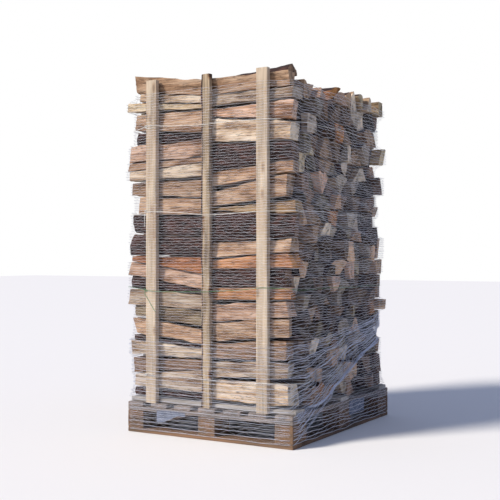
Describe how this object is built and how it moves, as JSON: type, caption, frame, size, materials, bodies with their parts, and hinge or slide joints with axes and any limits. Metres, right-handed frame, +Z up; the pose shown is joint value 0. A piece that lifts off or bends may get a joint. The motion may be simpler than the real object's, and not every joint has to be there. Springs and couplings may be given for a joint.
{
  "type": "netted pallet of split firewood",
  "caption": "Tall stack of split logs on a four-way pallet, with the log ends at two sides, held by upright slats, strings and a knitted net.",
  "frame": {"origin": "on the floor, at the centre of the middle foot board's underside, which is the pallet's centre", "axes": "+Z up; -Y out of the front, where the long sides of the logs and the slats show; +X towards the right side, where log ends show"},
  "size_m": [1.0705, 1.2132, 1.9032],
  "materials": {
    "foot_wood": "rough sawn softwood, orange-brown",
    "board_wood": "rough sawn softwood, weathered",
    "pale_wood": "planed board, bleached grey-white",
    "slat_wood": "fresh sawn batten, cream",
    "firewood": "split hardwood, tan faces and dark bark",
    "white_twine": "twisted polypropylene twine",
    "green_twine": "twisted polypropylene twine",
    "net_yarn": "knitted tape yarn, translucent white",
    "tag_paper": "plain label paper, blank"
  },
  "bodies": {
    "root": {"foot_board_front": "foot_wood", "foot_board_back": "foot_wood", "foot_board_left": "foot_wood", "foot_board_middle": "foot_wood", "foot_board_right": "foot_wood", "block_front_left": "foot_wood", "block_front_middle": "foot_wood", "block_front_right": "foot_wood", "stringer_front": "board_wood", "block_middle_left": "foot_wood", "block_middle_middle": "foot_wood", "block_middle_right": "foot_wood", "stringer_middle": "board_wood", "block_back_left": "foot_wood", "block_back_middle": "foot_wood", "block_back_right": "foot_wood", "stringer_back": "board_wood", "deck_board_1": "board_wood", "deck_board_2": "board_wood", "deck_board_3": "board_wood", "deck_board_4": "board_wood", "deck_board_5": "board_wood", "deck_board_6": "board_wood", "deck_board_7": "board_wood", "bearer_front": "pale_wood", "bearer_middle": "pale_wood", "bearer_back": "pale_wood", "slat_front_1": "slat_wood", "slat_front_2": "slat_wood", "slat_front_3": "slat_wood", "slat_back_1": "slat_wood", "slat_back_2": "slat_wood", "slat_back_3": "slat_wood", "firewood_left_1": "firewood", "firewood_left_2": "firewood", "firewood_left_3": "firewood", "firewood_left_4": "firewood", "firewood_left_5": "firewood", "firewood_left_6": "firewood", "firewood_left_7": "firewood", "firewood_left_8": "firewood", "firewood_left_9": "firewood", "firewood_right_1": "firewood", "firewood_right_2": "firewood", "firewood_right_3": "firewood", "firewood_right_4": "firewood", "firewood_right_5": "firewood", "firewood_right_6": "firewood", "firewood_right_7": "firewood", "firewood_right_8": "firewood", "firewood_right_9": "firewood", "string_low_white": "white_twine", "string_green": "green_twine", "string_middle_white": "white_twine", "string_upper_white": "white_twine", "net": "net_yarn", "net_rope": "net_yarn", "tag_front": "tag_paper", "tag_side": "tag_paper"}
  },
  "joints": []
}
